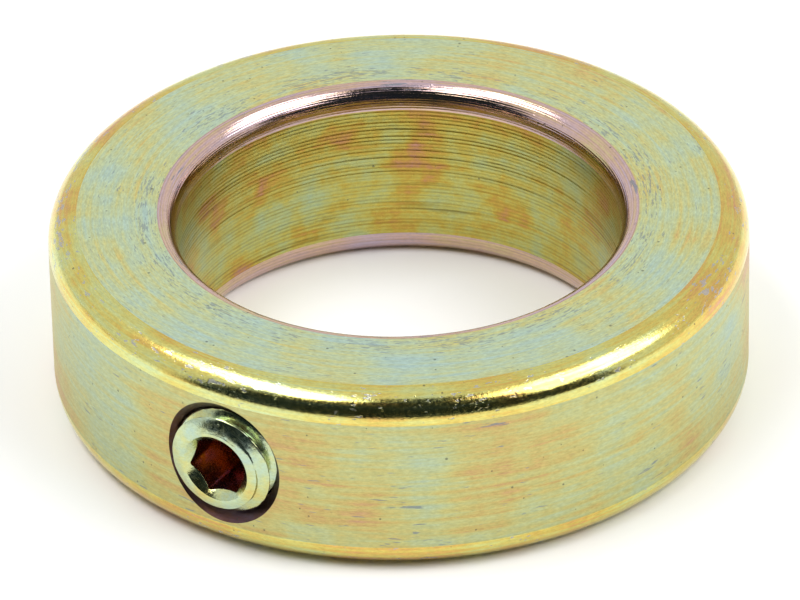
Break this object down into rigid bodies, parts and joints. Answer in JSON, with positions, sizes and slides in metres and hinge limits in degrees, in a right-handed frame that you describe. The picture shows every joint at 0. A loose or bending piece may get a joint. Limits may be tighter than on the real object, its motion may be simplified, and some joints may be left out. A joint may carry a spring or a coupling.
{
  "type": "shaft collar",
  "caption": "Set collar: a plain ring with rounded corners that a cone-point hex-socket set screw in a tapped cross hole locks on a shaft.",
  "frame": {"origin": "centre of the bore at mid-width", "axes": "+Z along the bore; the set screw lies along -Y, its socket facing -Y"},
  "size_m": [0.063, 0.064, 0.018],
  "materials": {
    "zinc_plated_steel": "turned free-cutting steel, zinc plated, yellow iridescent chromate",
    "screw_steel": "hardened alloy steel, zinc plated, yellow iridescent chromate"
  },
  "bodies": {
    "ring": {"collar_ring": "zinc_plated_steel"},
    "screw_slider": {"set_screw_point": "screw_steel"},
    "screw": {"set_screw": "screw_steel"}
  },
  "joints": [
    {"name": "screw_advance", "type": "slide", "parent": "ring", "child": "screw_slider", "axis": [0, -1, 0], "range_m": [-0.003, 0.01275]},
    {"name": "screw_turn", "type": "hinge", "parent": "screw_slider", "child": "screw", "pos_m": [0, -0.0275, 0], "axis": [0, -1, 0], "range_deg": [-720, 3060]}
  ],
  "couplings": [
    {"joint": "screw_turn", "follows": "screw_advance", "rad_per_m": 4188.8}
  ]
}
